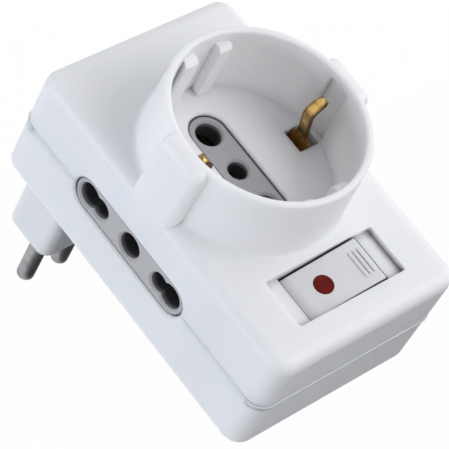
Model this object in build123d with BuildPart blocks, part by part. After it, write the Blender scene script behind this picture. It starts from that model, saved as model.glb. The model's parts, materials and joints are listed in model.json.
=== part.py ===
from build123d import *
import os
from math import cos, radians, sin, sqrt

os.makedirs("parts", exist_ok=True)

# Plug-in multi-socket adapter with a rocker switch. All sizes are in millimetres.
# Frame: the origin is the root of the earth pin, in the middle of the plug face.
# X runs along the box from the plug towards the switch, Y runs across it, Z comes out of the front.

# Plug: three round pins in line on a deep boss
pin_diameter = 4.0
pin_length = 19.0
pin_pitch = 9.5
pin_tip_round = 1.3
pin_root_diameter = 4.6
pin_shoulder_diameter = 6.4
pin_shoulder_height = 2.0
pin_tail_diameter = 2.6
pin_head_diameter = 4.4
pin_head_height = 0.9
boss_length = 12.8
boss_width = 32.4
boss_depth = 24.6
boss_corner = 2.6
plug_face_wall = 2.6
plug_face_round = 0.8

# Box: two moulded halves that meet at a seam
plug_end = 8.0
switch_end = 68.8
box_width = 49.2
rear_depth = 14.5
front_depth = 13.9
corner_radius = 4.0
front_edge_radius = 3.0
back_edge_radius = 1.4
wall = 2.0
front_seam_bevel = 0.15
rear_seam_bevel = 0.45
lip_height = 1.2
lip_thickness = 0.9
support_rib = 1.4

# Front socket: a round recess in a tall collar
collar_x = 27.0
recess_radius = 19.75
recess_depth = 17.7
recess_sink = 2.2
collar_rim_wall = 1.5
collar_foot_wall = 2.1
collar_foot_flare = 1.2
lip_round = 0.6
recess_foot_round = 0.5
pilaster_width = 11.8
pilaster_lean = 1.3
pilaster_round = 2.0
pilaster_top_round = 2.3
pilaster_below_rim = 0.1
guide_rib_width = 3.2
guide_rib_gap = 5.8
guide_rib_proud = 2.4
guide_rib_height = 15.0
guide_rib_bevel = 0.9

# Earth clips beside the recess
clip_hole_width = 5.4
clip_hole_margin = 2.6
clip_hole_outer_margin = 2.75
clip_groove_depth = 1.3
clip_groove_height = 15.5
clip_arm_width = 8.0
clip_neck_width = 5.0
clip_tongue_width = 2.4
clip_shoulder_height = 1.4
clip_arm_gap = 0.7
clip_contact_inset = 2.8
clip_contact_height = 9.8
clip_tip_set = 0.3
clip_tip_height = 12.6
clip_bend = 2.2

# Socket inserts
front_hole_pitch = 9.5
front_hole_diameter = 5.6
front_earth_diameter = 4.3
front_insert_width = 8.7
front_insert_border = 1.55
front_insert_sink = 0.7
front_insert_depth = 4.5
large_hole_pitch = 13.0
large_hole_diameter = 5.5
small_hole_pitch = 9.5
small_hole_diameter = 4.5
side_earth_diameter = 5.5
side_insert_height = 7.8
side_insert_border = 1.2
side_insert_sink = 0.5
side_insert_depth = 6.0
hole_bevel = 0.4
insert_edge_bevel = 0.4
slot_edge_bevel = 0.4
flange_rim = 1.6
flange_thickness = 1.5

# Rocker switch
switch_offset = 29.5
well_length = 28.6
well_width = 11.1
well_depth = 1.5
well_corner = 0.5
pad_thickness = 1.5
pad_rim = 1.6
rocker_tilt = 6.0
rocker_width = 10.2
rocker_length = 19.8
rocker_rise = 5.0
rocker_drop = 2.5
rocker_wall = 1.3
rocker_edge_round = 0.3
rocker_end_round = 0.9
rocker_axis_below_front = 6.0
trunnion_diameter = 3.0
trunnion_reach = 1.75
ridge_count = 3
ridge_pitch = 1.1
ridge_first = 6.6
ridge_length = 5.8
ridge_width = 0.6
ridge_height = 0.3
lens_diameter = 4.2
lens_thickness = 0.9
lens_proud = 0.1
lens_place = -2.3
plunger_diameter = 2.8
plunger_tip = 5.25
plunger_top = 1.2
post_diameter = 5.0
post_bottom = 3.4
spring_wire = 0.4
spring_turns = 4
spring_length = 3.4
frame_wall = 1.5
frame_base = 1.5
frame_depth = 14.5
lever_tilt = 5.0
lever_length = 19.2
lever_width = 4.0
lever_thickness = 0.8
lever_rise = 0.15
lever_below_axis = 6.55
contact_place = 8.0
contact_size = 3.0
contact_height = 0.8

# Sheet metal inside
metal = 0.6
strap = 0.8
strap_width = 4.0
bar_width = 8.4
bar_inset = 11.0
bar_base_height = 3.2
bar_wall_y = 3.9
leaf_y = 2.5
leaf_pinch = 2.1
leaf_top_gap = 1.2
jaw_open = 3.1
jaw_pinch = 2.25
jaw_lead = 3.5
jaw_mouth_gap = 2.1
bend_radius = 0.9

# Screws that hold the halves together
screw_diameter = 2.8
screw_length = 13.0
screw_head_diameter = 5.2
screw_head_height = 1.9
screw_head_round = 1.2
screw_end_inset = 6.2
screw_side_inset = 4.8
rear_post_diameter = 8.0
post_top_height = 9.4
post_seat_thickness = 2.4

# Clearances
running_gap = 0.1
seat_gap = 0.05
fit_gap = 0.15
rocker_gap = 0.45
contact_gap = 0.15

# Levels and places worked out from the sizes above
box_length = plug_end + switch_end
box_x = (switch_end - plug_end) / 2
half_width = box_width / 2
back_z = boss_depth
seam_z = back_z + rear_depth
front_z = seam_z + front_depth
inner_back_z = back_z + wall
inner_front_z = front_z - wall
floor_z = front_z - recess_sink
floor_under_z = floor_z - wall
insert_face_z = floor_z - front_insert_sink
rim_z = floor_z + recess_depth
switch_x = collar_x + switch_offset
axis_z = front_z - rocker_axis_below_front
pad_under_z = inner_front_z - pad_thickness
pin_places = {"neutral_pin": -pin_pitch, "earth_pin": 0.0, "line_pin": pin_pitch}
line_y = pin_pitch
neutral_y = -pin_pitch
line_bar_x = collar_x + bar_inset
neutral_bar_x = collar_x - bar_inset
bar_base_z = inner_back_z + bar_base_height
earth_base_z = inner_back_z + seat_gap + 1.5 * strap
pin_seat_z = plug_face_wall + pin_shoulder_height
screw_spots = [
    (x, y)
    for x in (screw_end_inset - plug_end, switch_end - screw_end_inset)
    for y in (screw_side_inset - half_width, half_width - screw_side_inset)
]
post_meet_z = inner_back_z + post_top_height
screw_seat_z = post_meet_z - post_seat_thickness
front_post_radius = screw_side_inset - wall - running_gap
side_slot_length = 2 * large_hole_pitch + large_hole_diameter + 2 * side_insert_border
front_slot_length = 2 * front_hole_pitch + front_hole_diameter + 2 * front_insert_border
side_insert_inner_y = half_width - side_insert_sink - side_insert_depth
clip_arm_y = side_insert_inner_y - clip_arm_gap - strap / 2
clip_contact_y = clip_arm_y - clip_contact_inset
clip_tip_y = clip_arm_y + clip_tip_set
clip_hole_inner = clip_arm_y - clip_hole_margin
clip_hole_outer = clip_arm_y + clip_hole_outer_margin
jaw_mouth_y = side_insert_inner_y - jaw_mouth_gap
jaw_pinch_y = jaw_mouth_y - jaw_lead
rocker_end_radius = sqrt((rocker_length / 2) ** 2 + rocker_rise**2)
pivot = (switch_x, 0, axis_z)


def tilted_plane(origin, angle):
    """A plane across the switch: its x runs along Y, tilted by the angle, and its y points up."""
    return Plane(origin=origin, x_dir=(0, cos(radians(angle)), sin(radians(angle))), z_dir=(1, 0, 0))


def side_plane(side, y):
    """A plane that looks out of one side of the box at the height of the seam."""
    return Plane(origin=(collar_x, side * y, seam_z), x_dir=(1, 0, 0), z_dir=(0, side, 0))


def pilaster(side):
    """One pilaster of the collar, drawn as its side view and rounded off at the top and along its edges."""
    pilaster_inner = recess_radius - wall
    pilaster_top_z = rim_z - pilaster_below_rim
    with BuildPart() as block:
        with BuildSketch(Plane.YZ.offset(collar_x)) as side_view:
            with BuildLine():
                Polyline(
                    (side * pilaster_inner, floor_under_z),
                    (side * half_width, floor_under_z),
                    (side * (half_width - pilaster_lean), pilaster_top_z),
                    (side * pilaster_inner, pilaster_top_z),
                    close=True,
                )
            make_face()
            top_corners = side_view.vertices().group_by(Axis.Y)[-1].sort_by(Axis.X)
            fillet(top_corners[-1 if side > 0 else 0], pilaster_top_round)
        extrude(amount=pilaster_width / 2, both=True)
        outer_face = block.faces().sort_by(Axis((0, 0, 0), (0, side, 0)))[-1]
        fillet(outer_face.edges().sort_by(SortBy.LENGTH)[-2:], pilaster_round)
    return block.part


def slot_cutter(plane, length, height):
    """The hole for an insert, with a bevel round its mouth, as a solid to take away from a cover."""
    with BuildPart() as cutter:
        with BuildSketch(plane):
            SlotOverall(length + 2 * fit_gap, height + 2 * fit_gap)
        extrude(amount=-2 * wall)
        with BuildSketch(plane):
            mouth = 2 * (fit_gap + slot_edge_bevel)
            SlotOverall(length + mouth, height + mouth)
        extrude(amount=-slot_edge_bevel, taper=45)
    return cutter.part


# Front cover: half of the box, the collar with its recess, and the well for the switch, in one moulding
with BuildPart() as front_cover:
    with BuildSketch(Plane.XY.offset(seam_z)):
        with Locations((box_x, 0)):
            RectangleRounded(box_length, box_width, corner_radius)
    extrude(amount=front_depth)
    fillet(front_cover.faces().sort_by(Axis.Z)[-1].edges(), front_edge_radius)
    chamfer(front_cover.faces().sort_by(Axis.Z)[0].edges(), front_seam_bevel)
    with BuildSketch(Plane.XY.offset(seam_z)):
        with Locations((box_x, 0)):
            RectangleRounded(box_length - 2 * wall, box_width - 2 * wall, corner_radius - wall)
    extrude(amount=front_depth - wall, mode=Mode.SUBTRACT)
    # A tongue inside the seam keeps the halves in line
    with BuildSketch(Plane.XY.offset(seam_z)):
        with Locations((box_x, 0)):
            tongue_inset = wall - lip_thickness
            RectangleRounded(
                box_length - 2 * tongue_inset, box_width - 2 * tongue_inset, corner_radius - tongue_inset
            )
            RectangleRounded(
                box_length - 2 * wall, box_width - 2 * wall, corner_radius - wall, mode=Mode.SUBTRACT
            )
    extrude(amount=-lip_height)
    # Collar, drawn as half a section and turned round its axis
    collar_plane = Plane(origin=(collar_x, 0, 0), x_dir=(1, 0, 0), z_dir=(0, -1, 0))
    with BuildSketch(collar_plane) as collar_section:
        foot_radius = recess_radius + collar_foot_wall
        flare_radius = foot_radius + collar_foot_flare
        rim_radius = recess_radius + collar_rim_wall
        with BuildLine():
            Polyline(
                (0, rim_z),
                (0, floor_under_z),
                (foot_radius, floor_under_z),
                (foot_radius, inner_front_z),
                (flare_radius, inner_front_z),
                (flare_radius, front_z),
            )
            CenterArc((flare_radius, front_z + collar_foot_flare), collar_foot_flare, 270, -90)
            Polyline((foot_radius, front_z + collar_foot_flare), (rim_radius, rim_z), (0, rim_z))
        make_face()
        fillet(collar_section.vertices().group_by(Axis.Y)[-1].sort_by(Axis.X)[-1], lip_round)
    revolve(axis=Axis((collar_x, 0, 0), (0, 0, 1)))
    # Two pilasters on the collar stand over the earth clips and run into the side walls
    for side in (-1, 1):
        add(pilaster(side))
    with Locations((collar_x, 0, floor_z)):
        Cylinder(
            recess_radius,
            2 * recess_depth,
            align=(Align.CENTER, Align.CENTER, Align.MIN),
            mode=Mode.SUBTRACT,
        )
    rim_edges = front_cover.edges().filter_by(GeomType.CIRCLE).group_by(Axis.Z)[-1]
    fillet(rim_edges.sort_by(SortBy.RADIUS)[0], lip_round)
    floor_edges = front_cover.edges().filter_by(GeomType.CIRCLE).filter_by_position(Axis.Z, floor_z, floor_z)
    fillet(floor_edges.sort_by(SortBy.RADIUS)[-1], recess_foot_round)
    # Grooves and floor holes for the earth clips
    for side in (-1, 1):
        groove_outer = clip_hole_outer + clip_groove_depth
        with Locations((collar_x, side * (clip_hole_inner + groove_outer) / 2, floor_z)):
            Box(
                clip_hole_width,
                groove_outer - clip_hole_inner,
                clip_groove_height,
                align=(Align.CENTER, Align.CENTER, Align.MIN),
                mode=Mode.SUBTRACT,
            )
        with Locations((collar_x, side * (clip_hole_inner + clip_hole_outer) / 2, floor_z)):
            Box(
                clip_hole_width,
                clip_hole_outer - clip_hole_inner,
                2 * wall,
                align=(Align.CENTER, Align.CENTER, Align.MAX),
                mode=Mode.SUBTRACT,
            )
    # Guide ribs on the recess wall, a pair at each end of the row of holes
    for end in (-1, 1):
        for rib_side in (-1, 1):
            rib_y = rib_side * (guide_rib_gap + guide_rib_width) / 2
            rib_in = recess_radius - guide_rib_proud
            rib_out = recess_radius + collar_rim_wall / 2
            rib_top = floor_z + guide_rib_height
            with BuildSketch(Plane.XZ.offset(-rib_y)):
                with BuildLine():
                    Polyline(
                        (collar_x + end * rib_in, floor_z),
                        (collar_x + end * rib_out, floor_z),
                        (collar_x + end * rib_out, rib_top),
                        (collar_x + end * (rib_in + guide_rib_bevel), rib_top),
                        (collar_x + end * rib_in, rib_top - guide_rib_bevel),
                        close=True,
                    )
                make_face()
            extrude(amount=guide_rib_width / 2, both=True)
    # Openings for the three inserts
    floor_plane = Plane(origin=(collar_x, 0, floor_z))
    add(slot_cutter(floor_plane, front_slot_length, front_insert_width), mode=Mode.SUBTRACT)
    for side in (-1, 1):
        side_slot = slot_cutter(side_plane(side, half_width), side_slot_length, side_insert_height)
        add(side_slot, mode=Mode.SUBTRACT)
    # Switch well, thickened underneath, with an opening that follows the swing of the rocker
    with Locations((switch_x, 0, inner_front_z)):
        Box(
            well_width + 2 * pad_rim,
            well_length + 2 * pad_rim,
            pad_thickness,
            align=(Align.CENTER, Align.CENTER, Align.MAX),
        )
    with BuildSketch(Plane.XY.offset(front_z)):
        with Locations((switch_x, 0)):
            RectangleRounded(well_width, well_length, well_corner)
    extrude(amount=-well_depth, mode=Mode.SUBTRACT)
    with Locations(pivot):
        Cylinder(rocker_end_radius + rocker_gap, well_width, rotation=(0, 90, 0), mode=Mode.SUBTRACT)
    # Posts that take the screws
    with Locations([(x, y, post_meet_z + seat_gap) for x, y in screw_spots]):
        Cylinder(
            front_post_radius,
            inner_front_z - post_meet_z,
            align=(Align.CENTER, Align.CENTER, Align.MIN),
        )
    with Locations([(x, y, post_meet_z) for x, y in screw_spots]):
        Cylinder(
            screw_diameter / 2 + seat_gap,
            screw_length,
            align=(Align.CENTER, Align.CENTER, Align.MIN),
            mode=Mode.SUBTRACT,
        )

front_cover.part.label = "front_cover"
export_step(front_cover.part, "parts/front_cover.step")

# Rear cover: the other half of the box, with the hollow plug boss in one moulding
with BuildPart() as rear_cover:
    with BuildSketch(Plane.XY.offset(back_z)):
        with Locations((box_x, 0)):
            RectangleRounded(box_length, box_width, corner_radius)
    extrude(amount=rear_depth)
    fillet(rear_cover.faces().sort_by(Axis.Z)[0].edges(), back_edge_radius)
    chamfer(rear_cover.faces().sort_by(Axis.Z)[-1].edges(), rear_seam_bevel)
    with BuildSketch(Plane.XY):
        RectangleRounded(boss_length, boss_width, boss_corner)
    extrude(amount=boss_depth + wall)
    fillet(rear_cover.faces().sort_by(Axis.Z)[0].edges(), plug_face_round)
    with BuildSketch(Plane.XY.offset(inner_back_z)):
        with Locations((box_x, 0)):
            RectangleRounded(box_length - 2 * wall, box_width - 2 * wall, corner_radius - wall)
    extrude(amount=rear_depth, mode=Mode.SUBTRACT)
    with BuildSketch(Plane.XY.offset(plug_face_wall)):
        RectangleRounded(boss_length - 2 * wall, boss_width - 2 * wall, boss_corner - wall)
    extrude(amount=inner_back_z, mode=Mode.SUBTRACT)
    # Rebate for the tongue of the front cover
    with BuildSketch(Plane.XY.offset(seam_z)):
        with Locations((box_x, 0)):
            rebate_inset = wall - lip_thickness - fit_gap
            RectangleRounded(
                box_length - 2 * rebate_inset, box_width - 2 * rebate_inset, corner_radius - rebate_inset
            )
    extrude(amount=-lip_height - fit_gap, mode=Mode.SUBTRACT)
    for side in (-1, 1):
        side_slot = slot_cutter(side_plane(side, half_width), side_slot_length, side_insert_height)
        add(side_slot, mode=Mode.SUBTRACT)
    # Holes for the pins
    with Locations([(0, y, 0) for y in pin_places.values()]):
        Cylinder(
            pin_root_diameter / 2 + seat_gap,
            4 * plug_face_wall,
            mode=Mode.SUBTRACT,
        )
    # Screw posts, open at the back for the screw heads
    with Locations([(x, y, inner_back_z) for x, y in screw_spots]):
        Cylinder(
            rear_post_diameter / 2,
            post_top_height,
            align=(Align.CENTER, Align.CENTER, Align.MIN),
        )
    with Locations([(x, y, post_meet_z) for x, y in screw_spots]):
        Cylinder(screw_diameter / 2 + running_gap, 8 * wall, mode=Mode.SUBTRACT)
    with Locations([(x, y, screw_seat_z) for x, y in screw_spots]):
        Cylinder(
            screw_head_diameter / 2 + 3 * running_gap,
            screw_seat_z - back_z + wall,
            align=(Align.CENTER, Align.CENTER, Align.MAX),
            mode=Mode.SUBTRACT,
        )
    # Ribs that carry the two bus bars, the line strap and the switch frame
    for bar_x in (neutral_bar_x, line_bar_x):
        with Locations([(bar_x, y, inner_back_z) for y in (-bar_wall_y, bar_wall_y)]):
            Box(
                bar_width - wall,
                support_rib,
                bar_base_height - metal / 2 - seat_gap,
                align=(Align.CENTER, Align.CENTER, Align.MIN),
            )
    frame_under_z = pad_under_z - frame_depth
    frame_half_length = rocker_end_radius + 2 * rocker_gap + frame_wall
    with Locations([(switch_x, y, inner_back_z) for y in (-frame_half_length, frame_half_length)]):
        Box(
            well_width,
            support_rib,
            frame_under_z - seat_gap - inner_back_z,
            align=(Align.CENTER, Align.CENTER, Align.MIN),
        )

rear_cover.part.label = "rear_cover"
export_step(rear_cover.part, "parts/rear_cover.step")

# Front insert: a grey stadium in the floor of the recess, with three round holes
with BuildPart() as front_socket_insert:
    with BuildSketch(Plane.XY.offset(insert_face_z)):
        with Locations((collar_x, 0)):
            SlotOverall(front_slot_length, front_insert_width)
    extrude(amount=-front_insert_depth)
    chamfer(front_socket_insert.faces().sort_by(Axis.Z)[-1].edges(), insert_edge_bevel)
    with BuildSketch(Plane.XY.offset(floor_under_z - seat_gap)):
        with Locations((collar_x, 0)):
            SlotOverall(front_slot_length + 2 * flange_rim, front_insert_width + 2 * flange_rim)
    extrude(amount=-flange_thickness)
    with BuildSketch(Plane.XY.offset(insert_face_z)):
        with Locations((collar_x - front_hole_pitch, 0), (collar_x + front_hole_pitch, 0)):
            Circle(front_hole_diameter / 2)
        with Locations((collar_x, 0)):
            Circle(front_earth_diameter / 2)
    extrude(amount=-2 * front_insert_depth, mode=Mode.SUBTRACT)
    insert_face = front_socket_insert.faces().sort_by(Axis.Z)[-1]
    chamfer(insert_face.inner_wires().edges(), hole_bevel)

front_socket_insert.part.label = "front_socket_insert"
export_step(front_socket_insert.part, "parts/front_socket_insert.step")


# Side inserts: two-pitch sockets, whose outer holes join a large and a small bore
def side_socket_insert(side):
    """One grey side insert, looking out along +Y or -Y."""
    face_y = half_width - side_insert_sink
    flange_y = half_width - wall - seat_gap
    with BuildPart() as insert:
        with BuildSketch(side_plane(side, face_y)):
            SlotOverall(side_slot_length, side_insert_height)
        extrude(amount=-side_insert_depth)
        outer_face = insert.faces().sort_by(Axis((0, 0, 0), (0, side, 0)))[-1]
        chamfer(outer_face.edges(), insert_edge_bevel)
        with BuildSketch(side_plane(side, flange_y)):
            SlotOverall(side_slot_length + 2 * flange_rim, side_insert_height + 2 * flange_rim)
        extrude(amount=-flange_thickness)
        with BuildSketch(side_plane(side, face_y)):
            for end in (-1, 1):
                with Locations((end * large_hole_pitch, 0)):
                    Circle(large_hole_diameter / 2)
                with Locations((end * small_hole_pitch, 0)):
                    Circle(small_hole_diameter / 2)
            Circle(side_earth_diameter / 2)
        extrude(amount=-2 * side_insert_depth, mode=Mode.SUBTRACT)
        outer_face = insert.faces().sort_by(Axis((0, 0, 0), (0, side, 0)))[-1]
        chamfer(outer_face.inner_wires().edges(), hole_bevel)
    return insert.part


for insert_name, side in (("left_socket_insert", -1), ("right_socket_insert", 1)):
    side_insert = side_socket_insert(side)
    side_insert.label = insert_name
    export_step(side_insert, f"parts/{insert_name}.step")


# Plug pins: turned brass with a root in the plug face, a shoulder behind it and a riveted tail
def plug_pin(y):
    """One pin in half section, turned round its own axis."""
    head_z = pin_seat_z + strap
    with BuildPart() as pin:
        with BuildSketch(Plane(origin=(0, y, 0), x_dir=(1, 0, 0), z_dir=(0, -1, 0))) as section:
            with BuildLine():
                Polyline(
                    (0, -pin_length),
                    (pin_diameter / 2, -pin_length),
                    (pin_diameter / 2, 0),
                    (pin_root_diameter / 2, 0),
                    (pin_root_diameter / 2, plug_face_wall + seat_gap),
                    (pin_shoulder_diameter / 2, plug_face_wall + seat_gap),
                    (pin_shoulder_diameter / 2, pin_seat_z),
                    (pin_tail_diameter / 2, pin_seat_z),
                    (pin_tail_diameter / 2, head_z),
                    (pin_head_diameter / 2, head_z),
                    (pin_head_diameter / 3, head_z + pin_head_height),
                    (0, head_z + pin_head_height),
                    close=True,
                )
            make_face()
            fillet(section.vertices().group_by(Axis.Y)[0].sort_by(Axis.X)[-1], pin_tip_round)
        revolve(axis=Axis((0, y, 0), (0, 0, 1)))
    return pin.part


for pin_name, pin_y in pin_places.items():
    pin = plug_pin(pin_y)
    pin.label = pin_name
    export_step(pin, f"parts/{pin_name}.step")


# Straps: flat brass riveted under each pin head, rising out of the boss and lying along the box
def pin_strap(y, lie_z, reach):
    """One strap, drawn along its middle line and given its thickness."""
    foot_z = pin_seat_z + strap / 2
    rise_x = boss_length / 2 - wall - strap
    with BuildPart() as strip:
        with BuildSketch(Plane.XZ.offset(-y)):
            with BuildLine():
                FilletPolyline(
                    (-pin_head_diameter / 2, foot_z),
                    (rise_x, foot_z),
                    (rise_x, lie_z),
                    (reach, lie_z),
                    radius=bend_radius,
                )
            trace(line_width=strap)
        extrude(amount=strap_width / 2, both=True)
        with Locations((0, y, foot_z)):
            Cylinder(pin_tail_diameter / 2 + seat_gap, 2 * strap, mode=Mode.SUBTRACT)
    return strip.part


line_strap_z = bar_base_z
neutral_strap_z = bar_base_z + (metal + strap) / 2
earth_strap_z = inner_back_z + seat_gap + strap / 2
contact_x = switch_x + lever_width / 2
straps = {
    "line_strap": (line_y, line_strap_z, contact_x),
    "neutral_strap": (neutral_y, neutral_strap_z, neutral_bar_x + bar_width / 2),
    "earth_strap": (0.0, earth_strap_z, collar_x + clip_arm_width / 2),
}
for strap_name, (strap_y, strap_z, strap_reach) in straps.items():
    pin_lead = pin_strap(strap_y, strap_z, strap_reach)
    pin_lead.label = strap_name
    export_step(pin_lead, f"parts/{strap_name}.step")


# Bus bars: folded strip with upright leaves for the front plug and jaws for the two side plugs
def bus_bar(bar_x, tab_y):
    """One bar, drawn as its section across the box and extruded along it."""
    wall_top = seam_z + jaw_open
    leaf_top = insert_face_z - front_insert_depth - leaf_top_gap
    with BuildPart() as bar:
        with BuildSketch(Plane.YZ.offset(bar_x)):
            for side in (-1, 1):
                with BuildLine():
                    FilletPolyline(
                        (0, bar_base_z),
                        (side * bar_wall_y, bar_base_z),
                        (side * bar_wall_y, wall_top),
                        (side * jaw_pinch_y, seam_z + jaw_pinch),
                        (side * jaw_mouth_y, seam_z + jaw_open),
                        radius=bend_radius,
                    )
                trace(line_width=metal)
                with BuildLine():
                    FilletPolyline(
                        (side * bar_wall_y, seam_z - jaw_open),
                        (side * jaw_pinch_y, seam_z - jaw_pinch),
                        (side * jaw_mouth_y, seam_z - jaw_open),
                        radius=bend_radius,
                    )
                trace(line_width=metal)
                with BuildLine():
                    FilletPolyline(
                        (side * leaf_y, bar_base_z),
                        (side * leaf_y, seam_z),
                        (side * leaf_pinch, (seam_z + leaf_top) / 2),
                        (side * leaf_y, leaf_top),
                        radius=bend_radius,
                    )
                trace(line_width=metal)
        extrude(amount=bar_width / 2, both=True)
        if tab_y:
            with Locations((bar_x, tab_y / 2, bar_base_z)):
                Box(bar_width, abs(tab_y) + strap_width, metal)
    return bar.part


bus_bars = {"line_bus_bar": (line_bar_x, 0), "neutral_bus_bar": (neutral_bar_x, neutral_y)}
for bar_name, (bar_x, tab_y) in bus_bars.items():
    bar = bus_bar(bar_x, tab_y)
    bar.label = bar_name
    export_step(bar, f"parts/{bar_name}.step")

# Earth bridge: one strip bent into a deep U, whose ends stand in the recess as the two earth clips
with BuildPart() as earth_bridge:
    with BuildSketch(Plane.YZ.offset(collar_x)):
        for side in (-1, 1):
            with BuildLine():
                FilletPolyline(
                    (0, earth_base_z),
                    (side * clip_arm_y, earth_base_z),
                    (side * clip_arm_y, floor_z),
                    (side * clip_contact_y, floor_z + clip_contact_height),
                    (side * clip_tip_y, floor_z + clip_tip_height),
                    radius=clip_bend,
                )
            trace(line_width=strap)
    extrude(amount=clip_arm_width / 2, both=True)
    # The arms narrow in two steps and end in rounded tongues
    with BuildSketch(Plane.XZ):
        arm_top = floor_under_z - 2 * wall
        neck_top = floor_z
        tongue_top = floor_z + clip_tip_height + strap / 2
        with Locations((collar_x, (earth_base_z + arm_top) / 2 - wall)):
            Rectangle(clip_arm_width, arm_top - earth_base_z + 2 * wall)
        with Locations((collar_x, (arm_top + neck_top) / 2)):
            Rectangle(clip_neck_width, neck_top - arm_top)
        with BuildLine():
            Polyline(
                (collar_x - clip_neck_width / 2, neck_top),
                (collar_x + clip_neck_width / 2, neck_top),
                (collar_x + clip_tongue_width / 2, neck_top + clip_shoulder_height),
                (collar_x - clip_tongue_width / 2, neck_top + clip_shoulder_height),
                close=True,
            )
        make_face()
        with Locations((collar_x, (neck_top + tongue_top) / 2)):
            SlotOverall(tongue_top - neck_top, clip_tongue_width, rotation=90)
    extrude(amount=half_width, both=True, mode=Mode.INTERSECT)
    # Each arm is pierced for the earth pin of the side plug
    with Locations((collar_x, 0, seam_z)):
        Cylinder(
            small_hole_diameter / 2 + strap / 2,
            box_width,
            rotation=(90, 0, 0),
            mode=Mode.SUBTRACT,
        )

earth_bridge.part.label = "earth_bridge"
export_step(earth_bridge.part, "parts/earth_bridge.step")

# Earth clip under the centre hole of the front socket
with BuildPart() as earth_centre_clip:
    clip_base_z = earth_base_z + (strap + metal) / 2
    clip_top_z = insert_face_z - front_insert_depth - leaf_top_gap
    with BuildSketch(Plane.YZ.offset(collar_x)):
        with BuildLine():
            FilletPolyline(
                (-leaf_y, clip_top_z),
                (-leaf_pinch, (seam_z + clip_top_z) / 2),
                (-leaf_y, seam_z),
                (-leaf_y, clip_base_z),
                (leaf_y, clip_base_z),
                (leaf_y, seam_z),
                (leaf_pinch, (seam_z + clip_top_z) / 2),
                (leaf_y, clip_top_z),
                radius=bend_radius,
            )
        trace(line_width=metal)
    extrude(amount=clip_neck_width / 2, both=True)

earth_centre_clip.part.label = "earth_centre_clip"
export_step(earth_centre_clip.part, "parts/earth_centre_clip.step")

# Rocker: a hollow key with round ends, two trunnions, grip ridges and a post for the plunger
rocker_plane = tilted_plane(pivot, rocker_tilt)
rocker_top = Plane(origin=pivot, x_dir=(1, 0, 0), z_dir=rocker_plane.y_dir)
inner_half = rocker_width / 2 - rocker_wall
inner_radius = rocker_end_radius - rocker_wall
inner_rise = rocker_rise - rocker_wall
with BuildPart() as rocker:
    with BuildSketch(rocker_plane):
        with BuildLine():
            top_half = rocker_length / 2
            foot_half = sqrt(rocker_end_radius**2 - rocker_drop**2)
            Line((-foot_half, -rocker_drop), (foot_half, -rocker_drop))
            ThreePointArc((foot_half, -rocker_drop), (rocker_end_radius, 0), (top_half, rocker_rise))
            Line((top_half, rocker_rise), (-top_half, rocker_rise))
            ThreePointArc((-top_half, rocker_rise), (-rocker_end_radius, 0), (-foot_half, -rocker_drop))
        make_face()
    extrude(amount=rocker_width / 2, both=True)
    top_face = rocker.faces().sort_by(Axis(pivot, rocker_plane.y_dir))[-1]
    fillet(top_face.edges().filter_by(Axis.X), rocker_end_round)
    top_face = rocker.faces().sort_by(Axis(pivot, rocker_plane.y_dir))[-1]
    fillet(top_face.edges().filter_by(Axis.X, reverse=True), rocker_edge_round)
    with BuildSketch(rocker_plane):
        with BuildLine():
            inner_top = sqrt(inner_radius**2 - inner_rise**2)
            inner_foot = sqrt(inner_radius**2 - (2 * rocker_drop) ** 2)
            Line((-inner_foot, -2 * rocker_drop), (inner_foot, -2 * rocker_drop))
            ThreePointArc((inner_foot, -2 * rocker_drop), (inner_radius, 0), (inner_top, inner_rise))
            Line((inner_top, inner_rise), (-inner_top, inner_rise))
            ThreePointArc((-inner_top, inner_rise), (-inner_radius, 0), (-inner_foot, -2 * rocker_drop))
        make_face()
    extrude(amount=inner_half, both=True, mode=Mode.SUBTRACT)
    with BuildSketch(rocker_top.offset(-post_bottom)):
        Circle(post_diameter / 2)
    extrude(amount=post_bottom + inner_rise)
    with BuildSketch(rocker_top.offset(-post_bottom)):
        Circle(plunger_diameter / 2 + running_gap)
    extrude(amount=post_bottom - plunger_top + spring_length + 2 * seat_gap, mode=Mode.SUBTRACT)
    for end in (-1, 1):
        with BuildSketch(Plane.YZ.offset(switch_x + end * inner_half)):
            with Locations((0, axis_z)):
                Circle(trunnion_diameter / 2)
        extrude(amount=end * (rocker_wall + trunnion_reach))
    with BuildSketch(rocker_top.offset(rocker_rise)):
        for ridge in range(ridge_count):
            with Locations((0, ridge_first + ridge * ridge_pitch)):
                SlotOverall(ridge_length, ridge_width)
    extrude(amount=ridge_height)
    with BuildSketch(rocker_top.offset(rocker_rise)):
        with Locations((0, lens_place)):
            Circle(lens_diameter / 2 + seat_gap)
    extrude(amount=-(lens_thickness - lens_proud + seat_gap), mode=Mode.SUBTRACT)

rocker.part.label = "rocker"
export_step(rocker.part, "parts/rocker.step")

# Red lens let into the rocker
with BuildPart() as rocker_lens:
    with BuildSketch(rocker_top.offset(rocker_rise + lens_proud)):
        with Locations((0, lens_place)):
            Circle(lens_diameter / 2)
    extrude(amount=-lens_thickness)
    lens_face = rocker_lens.faces().sort_by(Axis(pivot, rocker_plane.y_dir))[-1]
    fillet(lens_face.edges(), lens_proud)

rocker_lens.part.label = "rocker_lens"
export_step(rocker_lens.part, "parts/rocker_lens.step")

# Plunger in the post of the rocker, and the spring that pushes it on the contact lever
with BuildPart() as rocker_plunger:
    with BuildSketch(rocker_plane):
        tip_radius = plunger_diameter / 2
        with BuildLine():
            Line((0, -plunger_tip), (0, -plunger_top))
            Line((0, -plunger_top), (tip_radius, -plunger_top))
            Line((tip_radius, -plunger_top), (tip_radius, tip_radius - plunger_tip))
            CenterArc((0, tip_radius - plunger_tip), tip_radius, 0, -90)
        make_face()
    revolve(axis=Axis(pivot, rocker_plane.y_dir))

rocker_plunger.part.label = "rocker_plunger"
export_step(rocker_plunger.part, "parts/rocker_plunger.step")

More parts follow.
